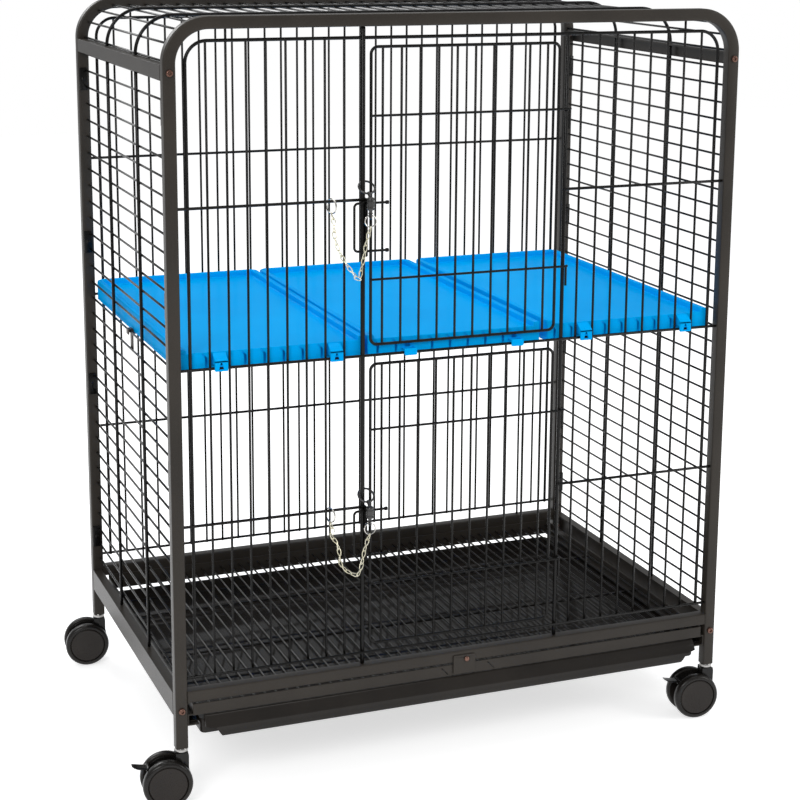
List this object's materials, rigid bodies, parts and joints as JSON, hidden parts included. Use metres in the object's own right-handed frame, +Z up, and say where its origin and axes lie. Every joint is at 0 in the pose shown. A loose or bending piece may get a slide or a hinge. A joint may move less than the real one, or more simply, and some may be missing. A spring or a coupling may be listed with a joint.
{
  "type": "ferret cage",
  "caption": "Tall wire pet cage on castors: tube frame, hinged front doors with slide bolts, lift-out shelves, floor grate and slide-out tray.",
  "frame": {"origin": "middle of the outline's bounding box seen from above, at floor level", "axes": "+Z up, -Y towards the doors, +X to the right as one faces the doors"},
  "size_m": [0.8586, 0.5448, 1.013],
  "materials": {
    "frame_paint": "dark grey-brown powder coat with a fine hammered sparkle",
    "wire_paint": "dark grey-brown powder coat on wire",
    "screw_steel": "bronzed socket screw",
    "snap_hook_black": "black",
    "ring_chrome": "bright",
    "chain_steel": "pale plated chain",
    "shelf_blue": "bright blue, smooth",
    "bracket_paint": "dark powder coat",
    "tray_paint": "dark powder coat on sheet",
    "stem_chrome": "bright collar and stem",
    "castor_black": "black moulded",
    "wheel_black": "black moulded"
  },
  "bodies": {
    "cage": {"front_hoop": "frame_paint", "rear_hoop": "frame_paint", "front_base_rail": "frame_paint", "rear_base_rail": "frame_paint", "left_base_rail": "frame_paint", "left_top_rail": "frame_paint", "right_base_rail": "frame_paint", "right_top_rail": "frame_paint", "left_runner": "frame_paint", "right_runner": "frame_paint", "front_left_lower_screw": "screw_steel", "front_left_upper_screw": "screw_steel", "front_right_lower_screw": "screw_steel", "front_right_upper_screw": "screw_steel", "rear_left_lower_screw": "screw_steel", "rear_left_upper_screw": "screw_steel", "rear_right_lower_screw": "screw_steel", "rear_right_upper_screw": "screw_steel", "turn_button_screw": "screw_steel", "front_panel": "wire_paint", "rear_panel": "wire_paint", "left_mesh": "wire_paint", "right_mesh": "wire_paint", "top_mesh": "wire_paint", "floor_grate": "wire_paint", "upper_snap_hook": "snap_hook_black", "lower_snap_hook": "snap_hook_black", "upper_link_ring": "ring_chrome", "lower_link_ring": "ring_chrome", "upper_split_ring": "ring_chrome", "lower_split_ring": "ring_chrome", "upper_chain": "chain_steel", "lower_chain": "chain_steel", "shelf_bracket": "bracket_paint", "front_left_stem": "stem_chrome", "front_right_stem": "stem_chrome", "rear_left_stem": "stem_chrome", "rear_right_stem": "stem_chrome"},
    "upper_door": {"upper_door": "wire_paint"},
    "lower_door": {"lower_door": "wire_paint"},
    "upper_bolt": {"upper_bolt": "wire_paint"},
    "lower_bolt": {"lower_bolt": "wire_paint"},
    "left_shelf": {"left_shelf": "shelf_blue"},
    "middle_shelf": {"middle_shelf": "shelf_blue"},
    "right_shelf": {"right_shelf": "shelf_blue"},
    "tray": {"tray": "tray_paint"},
    "turn_button": {"turn_button": "frame_paint"},
    "front_left_castor": {"front_left_housing": "castor_black"},
    "front_right_castor": {"front_right_housing": "castor_black"},
    "rear_left_castor": {"rear_left_housing": "castor_black"},
    "rear_right_castor": {"rear_right_housing": "castor_black"},
    "front_left_wheels": {"front_left_wheels": "wheel_black"},
    "front_right_wheels": {"front_right_wheels": "wheel_black"},
    "rear_left_wheels": {"rear_left_wheels": "wheel_black"},
    "rear_right_wheels": {"rear_right_wheels": "wheel_black"},
    "front_left_brake": {"front_left_brake": "castor_black"},
    "front_right_brake": {"front_right_brake": "castor_black"}
  },
  "joints": [
    {"name": "upper_door_hinge", "type": "hinge", "parent": "cage", "child": "upper_door", "pos_m": [0.16911, -0.25109, 0.78], "axis": [0, 0, 1], "range_deg": [0, 110]},
    {"name": "lower_door_hinge", "type": "hinge", "parent": "cage", "child": "lower_door", "pos_m": [0.16911, -0.25109, 0.37], "axis": [0, 0, 1], "range_deg": [0, 110]},
    {"name": "upper_bolt_slide", "type": "slide", "parent": "cage", "child": "upper_bolt", "axis": [-1, 0, 0], "range_m": [0, 0.025]},
    {"name": "lower_bolt_slide", "type": "slide", "parent": "cage", "child": "lower_bolt", "axis": [-1, 0, 0], "range_m": [0, 0.025]},
    {"name": "left_shelf_lift", "type": "slide", "parent": "cage", "child": "left_shelf", "axis": [0, 0, 1], "range_m": [0, 0.05]},
    {"name": "middle_shelf_lift", "type": "slide", "parent": "cage", "child": "middle_shelf", "axis": [0, 0, 1], "range_m": [0, 0.005]},
    {"name": "right_shelf_lift", "type": "slide", "parent": "cage", "child": "right_shelf", "axis": [0, 0, 1], "range_m": [0, 0.05]},
    {"name": "tray_slide", "type": "slide", "parent": "cage", "child": "tray", "axis": [0, -1, 0], "range_m": [0, 0.43]},
    {"name": "turn_button_hinge", "type": "hinge", "parent": "cage", "child": "turn_button", "pos_m": [0.03342, -0.26039, 0.1422], "axis": [0, 1, 0], "range_deg": [0, 180]},
    {"name": "front_left_swivel", "type": "hinge", "parent": "cage", "child": "front_left_castor", "pos_m": [-0.36389, -0.25109, 0.0702], "axis": [0, 0, 1], "continuous": true},
    {"name": "front_right_swivel", "type": "hinge", "parent": "cage", "child": "front_right_castor", "pos_m": [0.41512, -0.25109, 0.0702], "axis": [0, 0, 1], "continuous": true},
    {"name": "rear_left_swivel", "type": "hinge", "parent": "cage", "child": "rear_left_castor", "pos_m": [-0.36389, 0.24691, 0.0702], "axis": [0, 0, 1], "continuous": true},
    {"name": "rear_right_swivel", "type": "hinge", "parent": "cage", "child": "rear_right_castor", "pos_m": [0.41512, 0.24691, 0.0702], "axis": [0, 0, 1], "continuous": true},
    {"name": "front_left_roll", "type": "hinge", "parent": "front_left_castor", "child": "front_left_wheels", "pos_m": [-0.38378, -0.249, 0.0325], "axis": [0.1045, 0.9945, 0], "continuous": true},
    {"name": "front_right_roll", "type": "hinge", "parent": "front_right_castor", "child": "front_right_wheels", "pos_m": [0.39522, -0.249, 0.0325], "axis": [0.1045, 0.9945, 0], "continuous": true},
    {"name": "rear_left_roll", "type": "hinge", "parent": "rear_left_castor", "child": "rear_left_wheels", "pos_m": [-0.38378, 0.249, 0.0325], "axis": [0.1045, 0.9945, 0], "continuous": true},
    {"name": "rear_right_roll", "type": "hinge", "parent": "rear_right_castor", "child": "rear_right_wheels", "pos_m": [0.39522, 0.249, 0.0325], "axis": [0.1045, 0.9945, 0], "continuous": true},
    {"name": "front_left_brake_pivot", "type": "hinge", "parent": "front_left_castor", "child": "front_left_brake", "pos_m": [-0.40705, -0.24655, 0.052], "axis": [0.1045, 0.9945, 0], "range_deg": [-20, 0]},
    {"name": "front_right_brake_pivot", "type": "hinge", "parent": "front_right_castor", "child": "front_right_brake", "pos_m": [0.37195, -0.24655, 0.052], "axis": [0.1045, 0.9945, 0], "range_deg": [-20, 0]}
  ]
}
